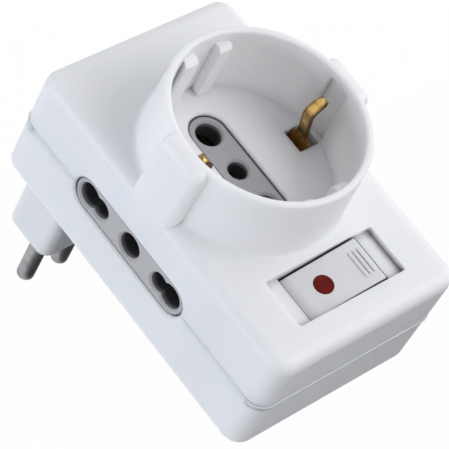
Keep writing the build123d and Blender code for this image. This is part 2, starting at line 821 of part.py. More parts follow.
with BuildPart() as rocker_spring:
    coil_radius = plunger_diameter / 2 - spring_wire / 2 - seat_gap
    coil_height = spring_length - spring_wire - 2 * seat_gap
    coil_start = rocker_top.offset(spring_wire / 2 + seat_gap - plunger_top)
    with BuildLine() as coil:
        Helix(
            coil_height / spring_turns,
            coil_height,
            coil_radius,
            center=coil_start.origin,
            direction=coil_start.z_dir,
        )
    with BuildSketch(Plane(origin=coil.line @ 0, z_dir=coil.line % 0)):
        RegularPolygon(spring_wire / 2, 6)
    sweep(path=coil.line, is_frenet=True)

rocker_spring.part.label = "rocker_spring"
export_step(rocker_spring.part, "parts/rocker_spring.step")

# Switch frame: an open moulded box under the well, with bearings for the rocker and slots for terminals
frame_half_width = well_width / 2 + frame_wall
frame_inner_length = rocker_end_radius + 2 * rocker_gap
base_top_z = frame_under_z + frame_base
lever_z = axis_z - lever_below_axis
lever_drop = (contact_place + contact_size / 2) * sin(radians(lever_tilt))
stop_top_z = lever_z + lever_rise - contact_height - lever_drop - contact_gap
with BuildPart() as switch_frame:
    with Locations((switch_x, 0, frame_under_z)):
        Box(
            2 * frame_half_width,
            2 * (frame_inner_length + frame_wall),
            frame_depth - seat_gap,
            align=(Align.CENTER, Align.CENTER, Align.MIN),
        )
    with Locations((switch_x, 0, base_top_z)):
        Box(
            well_width,
            2 * frame_inner_length,
            frame_depth,
            align=(Align.CENTER, Align.CENTER, Align.MIN),
            mode=Mode.SUBTRACT,
        )
    with Locations(pivot):
        Cylinder(
            trunnion_diameter / 2 + running_gap,
            4 * frame_half_width,
            rotation=(0, 90, 0),
            mode=Mode.SUBTRACT,
        )
    # Slots for the two terminals, and a stop for the free end of the lever
    for slot_y in (0, contact_place):
        with Locations((switch_x, slot_y, frame_under_z)):
            Box(lever_width + 2 * fit_gap, strap + 2 * fit_gap, 4 * frame_base, mode=Mode.SUBTRACT)
    with Locations((switch_x, -contact_place, base_top_z)):
        Box(
            lever_width,
            contact_size,
            stop_top_z - base_top_z,
            align=(Align.CENTER, Align.CENTER, Align.MIN),
        )

switch_frame.part.label = "switch_frame"
export_step(switch_frame.part, "parts/switch_frame.step")

# Contact lever: a see-saw on the centre terminal, with a square contact under each end
lever_plane = tilted_plane((switch_x, 0, lever_z), -lever_tilt)
with BuildPart() as switch_lever:
    with BuildSketch(lever_plane):
        with Locations((0, lever_rise)):
            Rectangle(lever_length, lever_thickness, align=(Align.CENTER, Align.MIN))
    extrude(amount=lever_width / 2, both=True)
    for end in (-1, 1):
        with BuildSketch(lever_plane):
            with Locations((end * contact_place, lever_rise - contact_height)):
                Rectangle(contact_size, contact_height, align=(Align.CENTER, Align.MIN))
        extrude(amount=contact_size / 2, both=True)

switch_lever.part.label = "switch_lever"
export_step(switch_lever.part, "parts/switch_lever.step")


# Switch terminals: upright strips through the frame, with feet on the line strap and on the line bar
def switch_terminal(y, top_z, foot_z, foot_reach):
    """One terminal, drawn along its middle line."""
    with BuildPart() as terminal:
        with BuildSketch(Plane.YZ.offset(switch_x)):
            with Locations((y, (top_z + foot_z) / 2)):
                Rectangle(strap, top_z - foot_z + strap)
        extrude(amount=lever_width / 2, both=True)
        with Locations((switch_x + lever_width / 2, y, foot_z)):
            Box(
                switch_x + lever_width / 2 - foot_reach,
                strap_width / 2,
                strap,
                align=(Align.MAX, Align.CENTER, Align.CENTER),
            )
    return terminal.part


lever_foot_z = bar_base_z + (metal + strap) / 2
contact_foot_z = line_strap_z + strap
centre_terminal = switch_terminal(0, lever_z - strap / 2, lever_foot_z, line_bar_x - bar_width / 4)
centre_terminal.label = "switch_centre_terminal"
export_step(centre_terminal, "parts/switch_centre_terminal.step")
contact_foot_reach = switch_x - 3 * strap_width
contact_terminal = switch_terminal(contact_place, stop_top_z - strap / 2, contact_foot_z, contact_foot_reach)
contact_terminal.label = "switch_contact_terminal"
export_step(contact_terminal, "parts/switch_contact_terminal.step")

# Screws, put in from the back
with BuildPart() as housing_screws:
    for spot_x, spot_y in screw_spots:
        head_seat = (spot_x, spot_y, screw_seat_z - seat_gap)
        screw_plane = Plane(origin=head_seat, x_dir=(1, 0, 0), z_dir=(0, -1, 0))
        with BuildSketch(screw_plane) as screw_section:
            with BuildLine():
                Polyline(
                    (0, -screw_head_height),
                    (screw_head_diameter / 2, -screw_head_height),
                    (screw_head_diameter / 2, 0),
                    (screw_diameter / 2, 0),
                    (screw_diameter / 2, screw_length - screw_diameter),
                    (0, screw_length - screw_diameter / 2),
                    close=True,
                )
            make_face()
            fillet(screw_section.vertices().group_by(Axis.Y)[0].sort_by(Axis.X)[-1], screw_head_round)
        revolve(axis=Axis((spot_x, spot_y, 0), (0, 0, 1)))
    # Cross recess in each head
    with Locations([(x, y, screw_seat_z - screw_head_height) for x, y in screw_spots]):
        Box(screw_head_diameter / 2, strap, screw_head_height, mode=Mode.SUBTRACT)
        Box(strap, screw_head_diameter / 2, screw_head_height, mode=Mode.SUBTRACT)

housing_screws.part.label = "housing_screws"
export_step(housing_screws.part, "parts/housing_screws.step")
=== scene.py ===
# %% [markdown]
# A plug-in socket adapter, dressed for its portrait.
# The real object is a white moulded box that plugs into a wall socket and offers three sockets and a
# switch. Its pieces arrive as finished solids in metres, with the pins pointing down and the round
# socket looking up. The solids could be rebuilt here by hand, but they are already true to size, so
# this lesson only gives them their finishes and a few fine details, and then a floor, some light and a
# camera.

# %% Load the pieces
import bmesh
import bpy
import json
import math
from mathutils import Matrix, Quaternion, Vector


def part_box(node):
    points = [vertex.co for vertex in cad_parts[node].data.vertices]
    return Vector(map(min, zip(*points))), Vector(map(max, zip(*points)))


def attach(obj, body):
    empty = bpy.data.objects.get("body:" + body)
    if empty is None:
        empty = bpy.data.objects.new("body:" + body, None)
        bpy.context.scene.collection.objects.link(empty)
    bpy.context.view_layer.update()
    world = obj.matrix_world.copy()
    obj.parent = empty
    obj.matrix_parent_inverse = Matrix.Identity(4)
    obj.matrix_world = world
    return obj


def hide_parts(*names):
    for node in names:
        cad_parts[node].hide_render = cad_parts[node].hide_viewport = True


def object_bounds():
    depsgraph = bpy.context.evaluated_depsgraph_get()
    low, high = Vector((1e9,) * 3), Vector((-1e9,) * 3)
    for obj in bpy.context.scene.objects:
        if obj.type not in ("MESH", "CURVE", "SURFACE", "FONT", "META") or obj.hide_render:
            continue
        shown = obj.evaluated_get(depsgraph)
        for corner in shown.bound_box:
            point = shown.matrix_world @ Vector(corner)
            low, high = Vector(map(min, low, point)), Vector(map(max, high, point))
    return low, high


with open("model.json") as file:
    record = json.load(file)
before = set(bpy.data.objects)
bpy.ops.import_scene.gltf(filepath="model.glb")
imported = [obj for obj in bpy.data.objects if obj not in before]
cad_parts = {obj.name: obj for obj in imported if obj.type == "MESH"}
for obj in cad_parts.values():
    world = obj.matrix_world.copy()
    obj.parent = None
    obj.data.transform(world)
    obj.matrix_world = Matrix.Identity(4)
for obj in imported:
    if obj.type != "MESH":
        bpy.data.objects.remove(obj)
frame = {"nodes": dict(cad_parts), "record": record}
pieces = frame["nodes"]
cad_low, cad_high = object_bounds()
MM = 0.001
print(len(pieces), "pieces, box in mm:", [round(v / MM, 1) for v in cad_high - cad_low])

# %% [markdown]
# An empty finish.
# Every finish of the part starts from the same bench: a node tree with one Principled shader in it. A
# new material could keep the nodes that Blender puts there by itself, but an empty tree leaves no doubt
# about what is in it.

# %% An empty finish
def new_finish(name):
    """A material that holds one Principled shader and nothing else."""
    finish = bpy.data.materials.new(name)
    finish.use_nodes = True
    tree = finish.node_tree
    tree.nodes.clear()
    shader = tree.nodes.new("ShaderNodeBsdfPrincipled")
    output = tree.nodes.new("ShaderNodeOutputMaterial")
    tree.links.new(shader.outputs["BSDF"], output.inputs["Surface"])
    return finish, tree, shader


print("ready to make finishes")

# %% [markdown]
# Noise with a real size.
# Real plastic and metal are never quite even. The unevenness could come from a painted image, but that
# has to be wrapped round each piece. Noise needs no wrapping: it reads object coordinates, which are
# metres on this part, so a grain keeps its real size on every piece. A scale of 1000 means spots of
# about one millimetre.

# %% Noise with a real size
EVEN = (1, 1, 1)


def place_in_metres(tree, stretch=EVEN):
    """Object coordinates, squeezed or stretched along each axis."""
    coordinates = tree.nodes.new("ShaderNodeTexCoord")
    mapping = tree.nodes.new("ShaderNodeMapping")
    mapping.inputs["Scale"].default_value = stretch
    tree.links.new(coordinates.outputs["Object"], mapping.inputs["Vector"])
    return mapping.outputs["Vector"]


def mottle(tree, scale, detail=2.0, stretch=EVEN):
    """Soft noise between 0 and 1, with spots of about 1 / scale metres."""
    noise = tree.nodes.new("ShaderNodeTexNoise")
    noise.inputs["Scale"].default_value = scale
    noise.inputs["Detail"].default_value = detail
    tree.links.new(place_in_metres(tree, stretch), noise.inputs["Vector"])
    return noise.outputs["Fac"]


print("ready to make noise on", len(pieces), "pieces")

# %% [markdown]
# From noise to numbers, colours and grain.
# A noise stays mostly near its middle. Map Range turns that middle part into a number such as a
# roughness, and a colour ramp turns it into a colour between two shades. A Mix node lays a fixed shade
# over a colour. Grain could be real points on the mesh, but a bump gives the same look and keeps the
# outline true.

# %% From noise to numbers, colours and grain
NOISE_LOW = 0.3
NOISE_HIGH = 0.7


def between(tree, factor, low, high, start=NOISE_LOW, end=NOISE_HIGH):
    """A number that runs from low to high as the factor runs from start to end."""
    span = tree.nodes.new("ShaderNodeMapRange")
    span.inputs["From Min"].default_value = start
    span.inputs["From Max"].default_value = end
    span.inputs["To Min"].default_value = low
    span.inputs["To Max"].default_value = high
    tree.links.new(factor, span.inputs["Value"])
    return span.outputs["Result"]


def two_tone(tree, factor, first, second, start=NOISE_LOW, end=NOISE_HIGH):
    """A colour that runs from the first to the second as the factor runs from start to end."""
    ramp = tree.nodes.new("ShaderNodeValToRGB")
    low, high = ramp.color_ramp.elements
    low.position = start
    low.color = (*first, 1)
    high.position = end
    high.color = (*second, 1)
    tree.links.new(factor, ramp.inputs["Fac"])
    return ramp.outputs["Color"]


def tinted(tree, factor, skin, shade):
    """A colour that goes from the skin to a fixed shade as the factor goes from 0 to 1."""
    mix = tree.nodes.new("ShaderNodeMix")
    mix.data_type = "RGBA"
    first, second = [socket for socket in mix.inputs if socket.type == "RGBA"]
    tree.links.new(factor, mix.inputs["Factor"])
    tree.links.new(skin, first)
    second.default_value = (*shade, 1)
    return [socket for socket in mix.outputs if socket.type == "RGBA"][0]


def grain(tree, shader, height, depth, strength):
    """A bump of the given depth in metres, read from a height between 0 and 1."""
    bump = tree.nodes.new("ShaderNodeBump")
    bump.inputs["Strength"].default_value = strength
    bump.inputs["Distance"].default_value = depth
    tree.links.new(height, bump.inputs["Height"])
    tree.links.new(bump.outputs["Normal"], shader.inputs["Normal"])


print("noise counts from", NOISE_LOW, "to", NOISE_HIGH)

# %% [markdown]
# Painted shade in narrow gaps.
# Gaps as narrow as the one round the rocker get no light, and their shade is painted into the colour.
# They could be painted dark by hand, but an occlusion node finds them by the walls that stand close by.
# Only upright walls are darkened, because a ledge that looks up still sees the sky. Round the switch the
# painted shade reaches further out of the corners, onto the walls of the well and the rocker's low end.
# Limits along the axes say where it lies, and on the rocker's open faces a weaker painted shade is left.

# %% Painted shade in narrow gaps
# Colour of the painted shade in gaps, and how closed a gap must be before it is painted fully dark.
GAP_SHADOW_COLOUR = (0.045, 0.044, 0.046)
GAP_SHADOW_FULL = 0.10
SPREAD_SHADE_CLEAR = 0.90
OPENNESS_SAMPLES = 8
UPRIGHT = 0.3
LYING = 0.8
WELL_X = 50 * MM
WELL_Z = 44 * MM
WELL_FADE = 2 * MM
ROCKER_OPEN_FACE_SHADE = 0.35
ROCKER_SHADE_ENDS = 3.4 * MM
ROCKER_SHADE_FULL = 0.6 * MM

# The painted shade reaches wider round the switch well, and on the rocker's low end it lies on open
# faces too.
rocker_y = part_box("rocker")[0].y
WELL_SPREAD_SHADE = {
    "open_face_shade": 0.0,
    "limits": [("X", WELL_X, WELL_X + WELL_FADE), ("Z", WELL_Z, WELL_Z + WELL_FADE)],
}
ROCKER_SPREAD_SHADE = {
    "open_face_shade": ROCKER_OPEN_FACE_SHADE,
    "limits": [("Y", rocker_y + ROCKER_SHADE_ENDS, rocker_y + ROCKER_SHADE_FULL)],
}


def combined(tree, operation, first, second):
    """Two numbers joined by one operation of the Math node."""
    join = tree.nodes.new("ShaderNodeMath")
    join.operation = operation
    tree.links.new(first, join.inputs[0])
    tree.links.new(second, join.inputs[1])
    return join.outputs["Value"]


def on_axis(tree, vector, axis):
    """One coordinate of a vector."""
    parts = tree.nodes.new("ShaderNodeSeparateXYZ")
    tree.links.new(vector, parts.inputs["Vector"])
    return parts.outputs[axis]


def painted_gap_shade(tree, reach, clear, spread_shade):
    """1 where shade is painted: in narrow gaps between upright walls and under the wider painted shade,
    0 elsewhere.
    """
    occlusion = tree.nodes.new("ShaderNodeAmbientOcclusion")
    occlusion.samples = OPENNESS_SAMPLES
    occlusion.inputs["Distance"].default_value = reach
    openness = occlusion.outputs["AO"]
    gap = between(tree, openness, 1.0, 0.0, GAP_SHADOW_FULL, clear)
    up = on_axis(tree, tree.nodes.new("ShaderNodeNewGeometry").outputs["Normal"], "Z")
    slope = combined(tree, "MULTIPLY", up, up)
    gap = combined(tree, "MULTIPLY", gap, between(tree, slope, 1.0, 0.0, UPRIGHT, LYING))
    if spread_shade:
        spread_shade_layer = between(tree, openness, 1.0, spread_shade["open_face_shade"], GAP_SHADOW_FULL, SPREAD_SHADE_CLEAR)
        for axis, start, full in spread_shade["limits"]:
            near = between(tree, on_axis(tree, place_in_metres(tree), axis), 0.0, 1.0, start, full)
            spread_shade_layer = combined(tree, "MULTIPLY", spread_shade_layer, near)
        gap = combined(tree, "MAXIMUM", gap, spread_shade_layer)
    return gap


# Where the painted shade on the rocker's low end begins.
print("dust on the rocker starts at y =", round(rocker_y / MM, 2), "mm")

# %% [markdown]
# White housing plastic.
# The covers are injection moulded in a tool with a fine spark-eroded skin, which gives a satin white:
# soft highlights, no mirror, and a colour that drifts very slightly where the melt flowed. It could be
# plain white with a fixed roughness, but then the large flat faces look like paper. A slow mottle
# drives the colour, a finer one the gloss and a very fine one the grain. Subsurface scattering lets
# light through the thin collar, as white plastic does.

# %% White housing plastic
FLOW_SCALE = 45
HANDLED_SCALE = 260
SKIN_SCALE = 3200
SKIN_STRENGTH = 0.35
SHADE_DRIFT = 0.02
GLOSS_DRIFT = 0.08
PLASTIC_IOR = 1.5
SCATTER_REACH = 3.0 * MM
SCATTER_COLOUR = (1.0, 0.9, 0.8)
HOUSING_SHADE = (0.86, 0.863, 0.88)
ROCKER_SHADE = (0.70, 0.70, 0.715)
FRAME_SHADE = (0.30, 0.29, 0.25)


def moulded_plastic(name, shade, gloss, grain_depth, scatter=0.0, reach=0.8 * MM, clear=0.42, spread_shade=None):
    """Satin plastic with painted gap shade; gloss is its lowest roughness, reach and clear size the
    shade.
    """
    finish, tree, shader = new_finish(name)
    paler = tuple(min(1.0, (1 + SHADE_DRIFT) * c) for c in shade)
    darker = tuple((1 - SHADE_DRIFT) * c for c in shade)
    skin = two_tone(tree, mottle(tree, FLOW_SCALE, detail=1.0), darker, paler)
    # Painted shade: the colour turns dark in gaps and round the switch, where shade falls.
    painted_shade = painted_gap_shade(tree, reach, clear, spread_shade)
    tree.links.new(tinted(tree, painted_shade, skin, GAP_SHADOW_COLOUR), shader.inputs["Base Color"])
    handled = mottle(tree, HANDLED_SCALE, detail=3.0)
    tree.links.new(between(tree, handled, gloss, gloss + GLOSS_DRIFT), shader.inputs["Roughness"])
    grain(tree, shader, mottle(tree, SKIN_SCALE), grain_depth, SKIN_STRENGTH)
    shader.inputs["IOR"].default_value = PLASTIC_IOR
    shader.inputs["Subsurface Weight"].default_value = scatter
    shader.inputs["Subsurface Scale"].default_value = SCATTER_REACH
    shader.inputs["Subsurface Radius"].default_value = SCATTER_COLOUR
    return finish


housing_white = moulded_plastic(
    "housing_white", HOUSING_SHADE, gloss=0.38, grain_depth=0.02 * MM,
    scatter=0.8, reach=2.0 * MM, clear=0.60, spread_shade=WELL_SPREAD_SHADE,
)
rocker_white = moulded_plastic(
    "rocker_white", ROCKER_SHADE, gloss=0.30, grain_depth=0.01 * MM,
    scatter=0.1, reach=2.4 * MM, clear=0.30, spread_shade=ROCKER_SPREAD_SHADE,
)
frame_beige = moulded_plastic("frame_beige", FRAME_SHADE, gloss=0.45, grain_depth=0.02 * MM)
print("made", housing_white.name, rocker_white.name, frame_beige.name)

# %% [markdown]
# Grey insert plastic.
# The sockets are closed by grey inserts, a harder plastic that stands the heat of a contact. They come
# out of a similar tool, so the same recipe serves with a darker shade. Their holes look almost black on
# the real thing, because hardly any light comes back out of them, so that shade is painted into the
# colour. That could be a second material on chosen faces, but the faces can't be told apart by name.
# Instead the painted shade follows the depth behind the insert's face, which is the distance along one
# axis, read from the object coordinates.

# %% Grey insert plastic
FRONT_INSERT_SHADE = (0.37, 0.37, 0.385)
# The side inserts are the same grey plastic as the front one, painted lighter as painted light.
SIDE_INSERT_PAINTED_LIGHTER = (0.46, 0.455, 0.465)
HOLE_PAINTED_SHADE = (0.06, 0.06, 0.065)
HOLE_SHADE_STARTS = 0.45 * MM
HOLE_SHADE_FULL = 1.6 * MM


def insert_plastic(node, shade, axis, outwards):
    """Grey plastic with painted shade that turns it dark behind the face that looks outwards along an
    axis.
    """
    finish = moulded_plastic(
        node + "_grey", shade, gloss=0.42, grain_depth=0.02 * MM, reach=0.9 * MM, clear=0.66,
    )
    tree = finish.node_tree
    base_colour = tree.nodes["Principled BSDF"].inputs["Base Color"]
    skin = base_colour.links[0].from_socket
    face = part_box(node)[1 if outwards > 0 else 0]["XYZ".index(axis)]
    start = face - outwards * HOLE_SHADE_STARTS
    full = face - outwards * HOLE_SHADE_FULL
    # Painted shade: the colour darkens with depth behind the face, inside the holes where no light gets
    # in.
    depth = between(tree, on_axis(tree, place_in_metres(tree), axis), 0.0, 1.0, start, full)
    tree.links.new(tinted(tree, depth, skin, HOLE_PAINTED_SHADE), base_colour)
    print(finish.name, "face at", round(face / MM, 2), "mm on", axis)
    return finish


insert_finishes = {
    "front_socket_insert": insert_plastic("front_socket_insert", FRONT_INSERT_SHADE, "Z", 1),
    "left_socket_insert": insert_plastic("left_socket_insert", SIDE_INSERT_PAINTED_LIGHTER, "Y", -1),
    "right_socket_insert": insert_plastic("right_socket_insert", SIDE_INSERT_PAINTED_LIGHTER, "Y", 1),
}

# %% [markdown]
# Red lens.
# The dot on the rocker is a small plug of clear red plastic over nothing but shadow, so it looks dark.
# Glass with real transmission would be slow and noisy for a thing four millimetres across. A deep red
# with a weak gloss gives the same look from every side, and a slow cloud in it stands for the depth
# under its skin.

# %% Red lens
LENS_DEEP = (0.10, 0.008, 0.006)
LENS_CLOUDY = (0.15, 0.012, 0.009)
LENS_CLOUD_SCALE = 420
LENS_GLOSS_SCALE = 900
LENS_ROUGH_LOW = 0.26
LENS_ROUGH_HIGH = 0.34
LENS_SHINE = 0.06


def red_lens(name):
    """Deep red plastic with a slow cloud in it and a weak gloss."""
    finish, tree, shader = new_finish(name)
    cloud = mottle(tree, LENS_CLOUD_SCALE, detail=1.0)
    tree.links.new(two_tone(tree, cloud, LENS_DEEP, LENS_CLOUDY), shader.inputs["Base Color"])
    gloss = between(tree, mottle(tree, LENS_GLOSS_SCALE), LENS_ROUGH_LOW, LENS_ROUGH_HIGH)
    tree.links.new(gloss, shader.inputs["Roughness"])
    shader.inputs["Specular IOR Level"].default_value = LENS_SHINE
    return finish


lens_red = red_lens("lens_red")
print("made", lens_red.name)

# %% [markdown]
# Nickel pins.
# The plug pins are turned from brass rod and nickel plated, so very fine rings run round them and the
# plating dulls where a socket has gripped it. A wave texture along the pin's axis makes the rings. They
# are far too fine to model, and a bump keeps the pin's outline true. The screws and the spring use the
# same recipe.

# %% Nickel pins
GRIP_SCALE = 380
GRIP_DULLS = 0.12
RING_WAVER = 0.4
RING_DEPTH = 0.01 * MM
RING_STRENGTH = 0.25


def ringed_metal(name, bright, dull, pitch, roughness):
    """Turned and plated metal, with rings round the vertical axis."""
    finish, tree, shader = new_finish(name)
    worn = mottle(tree, GRIP_SCALE, detail=4.0)
    tree.links.new(two_tone(tree, worn, dull, bright), shader.inputs["Base Color"])
    tree.links.new(between(tree, worn, roughness + GRIP_DULLS, roughness), shader.inputs["Roughness"])
    rings = tree.nodes.new("ShaderNodeTexWave")
    rings.bands_direction = "Z"
    rings.inputs["Scale"].default_value = 1 / (pitch * math.pi * 2)
    rings.inputs["Distortion"].default_value = RING_WAVER
    tree.links.new(place_in_metres(tree), rings.inputs["Vector"])
    grain(tree, shader, rings.outputs["Fac"], RING_DEPTH, RING_STRENGTH)
    shader.inputs["Metallic"].default_value = 1.0
    return finish


pin_nickel = ringed_metal(
    "pin_nickel", bright=(0.42, 0.42, 0.435), dull=(0.29, 0.29, 0.30), pitch=0.14 * MM, roughness=0.44,
)
screw_zinc = ringed_metal(
    "screw_zinc", bright=(0.46, 0.47, 0.49), dull=(0.32, 0.33, 0.35), pitch=0.3 * MM, roughness=0.3,
)
spring_wire = ringed_metal(
    "spring_wire", bright=(0.40, 0.40, 0.41), dull=(0.28, 0.28, 0.29), pitch=0.2 * MM, roughness=0.28,
)
print("made", pin_nickel.name, screw_zinc.name, spring_wire.name)

# %% [markdown]
# Rolled brass.
# The earth clips that stand in the round socket are bent from rolled brass strip. Rolling leaves
# streaks along the strip, plugs rub the middle of each clip bright, and the edges keep their brown
# tarnish. The rubbed stripe could be painted on a texture, but both clips stand on one line across the
# socket, so the distance from that line along X says how near to an edge a point is. A rounder noise
# breaks the border up. Down by the floor of the socket no plug ever rubs, so there the strip is dull
# brown oxide, which is hardly a metal to the light. The strips behind the holes are far darker: partly
# oxide and partly painted shade for the dark inside of the holes.

# %% Rolled brass
BRASS_BRIGHT = (0.66, 0.43, 0.15)
BRASS_BROWN = (0.10, 0.048, 0.010)
CLIP_OXIDE = (0.34, 0.165, 0.035)
# The inner strips' oxide is darkened further into painted shade for the dark inside of the holes.
INNER_OXIDE_AND_SHADE = (0.045, 0.026, 0.010)
RUBBED_HALF = 0.55 * MM
TARNISHED_FROM = 1.25 * MM
PATCH_SCALE = 520
PATCH_LOW = 0.35
PATCH_HIGH = 0.6
LEAST_RUBBED = 0.35
OXIDE_METAL = 0.15
ROUGH_BROWN = 0.45
ROUGH_RUBBED = 0.24
STREAK_SCALE = 2600
STREAK_STRETCH = (1, 1, 0.06)
STREAK_DEPTH = 0.01 * MM
STREAK_STRENGTH = 0.3

bridge_low, bridge_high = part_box("earth_bridge")
clip_x = (bridge_low.x + bridge_high.x) / 2
insert_face_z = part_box("front_socket_insert")[1].z
OXIDE_FROM = insert_face_z + 3.0 * MM
OXIDE_FULL = insert_face_z + 0.5 * MM


def distance_from(tree, coordinate, line):
    """How far a coordinate lies from a fixed line, on either side of it."""
    offset = tree.nodes.new("ShaderNodeMath")
    offset.operation = "SUBTRACT"
    offset.inputs[1].default_value = line
    tree.links.new(coordinate, offset.inputs[0])
    distance = tree.nodes.new("ShaderNodeMath")
    distance.operation = "ABSOLUTE"
    tree.links.new(offset.outputs["Value"], distance.inputs[0])
    return distance.outputs["Value"]


def rolled_brass(name, oxide_and_painted_shade):
    """Brass strip, rubbed bright along the clips' line, turned to oxide inside and painted shade on
    inner strips.
    """
    finish, tree, shader = new_finish(name)
    place = place_in_metres(tree)
    off_line = distance_from(tree, on_axis(tree, place, "X"), clip_x)
    rubbed = between(tree, off_line, 1.0, 0.0, RUBBED_HALF, TARNISHED_FROM)
    spots = mottle(tree, PATCH_SCALE, detail=4.0)
    patches = between(tree, spots, LEAST_RUBBED, 1.0, PATCH_LOW, PATCH_HIGH)
    wear = combined(tree, "MULTIPLY", rubbed, patches)
    rolled = two_tone(tree, wear, BRASS_BROWN, BRASS_BRIGHT, 0.0, 1.0)
    height = on_axis(tree, place, "Z")
    oxide = between(tree, height, 0.0, 1.0, OXIDE_FROM, OXIDE_FULL)
    metal = between(tree, height, 1.0, OXIDE_METAL, OXIDE_FROM, OXIDE_FULL)
    roughness = between(tree, wear, ROUGH_BROWN, ROUGH_RUBBED, 0.0, 1.0)
    tree.links.new(tinted(tree, oxide, rolled, oxide_and_painted_shade), shader.inputs["Base Color"])
    tree.links.new(metal, shader.inputs["Metallic"])
    tree.links.new(roughness, shader.inputs["Roughness"])
    streaks = mottle(tree, STREAK_SCALE, stretch=STREAK_STRETCH)
    grain(tree, shader, streaks, STREAK_DEPTH, STREAK_STRENGTH)
    return finish


clip_brass = rolled_brass("clip_brass", CLIP_OXIDE)
inner_brass = rolled_brass("inner_brass", INNER_OXIDE_AND_SHADE)
print("made", clip_brass.name, inner_brass.name, "rubbed along x =", round(clip_x / MM, 2), "mm")

# %% [markdown]
# Dressing the pieces.
# Each piece of the record belongs to a material slot, such as white plastic or brass. A finish could be
# given to the pieces one by one, but the slots already say which pieces share a stock, so the finishes
# follow the slots. Only three kinds are told apart: the rocker, which is polished by fingers, the earth
# bridge, whose clips are rubbed by plugs, and the inserts, which each have a face of their own.

# %% Dress the pieces
finish_of_slot = {
    "white_plastic": housing_white,
    "red_plastic": lens_red,
    "frame_plastic": frame_beige,
    "pin_metal": pin_nickel,
    "brass": inner_brass,
    "spring_steel": spring_wire,
    "screw_steel": screw_zinc,
}
own_finishes = {"rocker": rocker_white, "earth_bridge": clip_brass, **insert_finishes}
for row in frame["record"]["subparts"]:
    piece = pieces[row["node"]]
    piece.data.materials.clear()
    piece.data.materials.append(own_finishes.get(row["node"]) or finish_of_slot[row["material_slot"]])
print("dressed", len(pieces), "pieces")

# %% [markdown]
# Clip tips worn round.
# The two clips are springs, and plugs have worn their tips round. The whole strip could be drawn again,
# but only its ends differ, so a copy of the strip takes the place of the solid. Level cuts, closer
# together towards the top, give the tips more points, and these are drawn in to a half circle.

# %% Clip tips worn round
TIP_ROUND = 1.4 * MM
TIP_CUTS = 6
TIP_NARROW = 0.25
WELD = 0.001 * MM
SHARP_EDGE = math.radians(35)

bent_bridge = pieces["earth_bridge"].copy()
bent_bridge.name = "bent_earth_bridge"
bent_bridge.data = pieces["earth_bridge"].data.copy()
bpy.context.scene.collection.objects.link(bent_bridge)

tips = bmesh.new()
tips.from_mesh(bent_bridge.data)
bmesh.ops.remove_doubles(tips, verts=tips.verts, dist=WELD)
top_z = max(point.co.z for point in tips.verts)
for cut in range(1, TIP_CUTS + 1):
    everything = tips.verts[:] + tips.edges[:] + tips.faces[:]
    cut_place = (0, 0, top_z - TIP_ROUND * (cut / TIP_CUTS) ** 2)
    bmesh.ops.bisect_plane(tips, geom=everything, plane_co=cut_place, plane_no=(0, 0, 1), dist=WELD)
near_top = [point for point in tips.verts if point.co.z > top_z - TIP_ROUND]
for point in near_top:
    rise = 1 - (top_z - point.co.z) / TIP_ROUND
    point.co.x = clip_x + (point.co.x - clip_x) * max(TIP_NARROW, math.sqrt(1 - rise ** 2))
tips.to_mesh(bent_bridge.data)
tips.free()
if "custom_normal" in bent_bridge.data.attributes:
    bent_bridge.data.attributes.remove(bent_bridge.data.attributes["custom_normal"])
bent_bridge.data.set_sharp_from_angle(angle=SHARP_EDGE)
print("rounded the tips with", len(near_top), "points")

# %% [markdown]
# A clip bent by use.
# The clip on the near side has been pushed further in than the other, so that its knee shows over the
# rim. A bend could be made with an armature, but one lean is simple enough to write down: the points of
# the near arm move inwards, more with their height above the floor of the socket. The copy then stands
# for the solid.

# %% Bent clip
CLIP_LEAN = 1.7 * MM
CLIP_KNEE_HEIGHT = 9.8 * MM

strip_points = bent_bridge.data.vertices
leaning = [point for point in strip_points if point.co.y < 0 and point.co.z > insert_face_z]
for point in leaning:
    point.co.y += CLIP_LEAN * min(1.0, (point.co.z - insert_face_z) / CLIP_KNEE_HEIGHT)
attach(bent_bridge, "housing")
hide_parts("earth_bridge")
print("leaned", len(leaning), "points of", bent_bridge.name)

# %% [markdown]
# Path of the seam ledge.
# At its two ends the back half of the box stands a hair proud of the front half, and its edge catches
# the light as a fine pale line along the seam. It is too fine for the solids. Its path round each end
# is the straight run and the two corner arcs. It could be picked from the edges of the solid, but the
# corner radius and the box of the rear cover say all that is needed.

# %% Path of the seam ledge
BOX_CORNER = 4.0 * MM
CORNER_STEPS = 10
QUARTER_TURN = math.pi / 2

box_low, box_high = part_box("rear_cover")
side_low, side_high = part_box("left_socket_insert")
seam_z = (side_low.z + side_high.z) / 2


def end_outline(first_angle):
    """Points round one end of the box, each with its outward direction."""
    for half in (0, 1):
        middle = first_angle + (half + 0.5) * QUARTER_TURN
        x = box_high.x - BOX_CORNER if math.cos(middle) > 0 else box_low.x + BOX_CORNER
        y = box_high.y - BOX_CORNER if math.sin(middle) > 0 else box_low.y + BOX_CORNER
        for step in range(CORNER_STEPS + 1):
            angle = first_angle + (half + step / CORNER_STEPS) * QUARTER_TURN
            outward = Vector((math.cos(angle), math.sin(angle), 0))
            yield Vector((x, y, seam_z)) + BOX_CORNER * outward, outward


print("seam at", round(seam_z / MM, 2), "mm")

# %% [markdown]
# Seam ledge.
# A small section is carried along that path and closed at both ends. A bevelled curve could do the
# same, but the ledge has to sink into the wall where the arcs meet the long sides, and here each step
# has a section of its own.

# %% Seam ledge
LEDGE_PROUD = 0.25 * MM
LEDGE_EDGE = 0.13 * MM
LEDGE_HEIGHT = 1.4 * MM
LEDGE_ROOT = 0.45 * MM
LEDGE_SINKS = 2
SEAM_GAP = 0.05 * MM


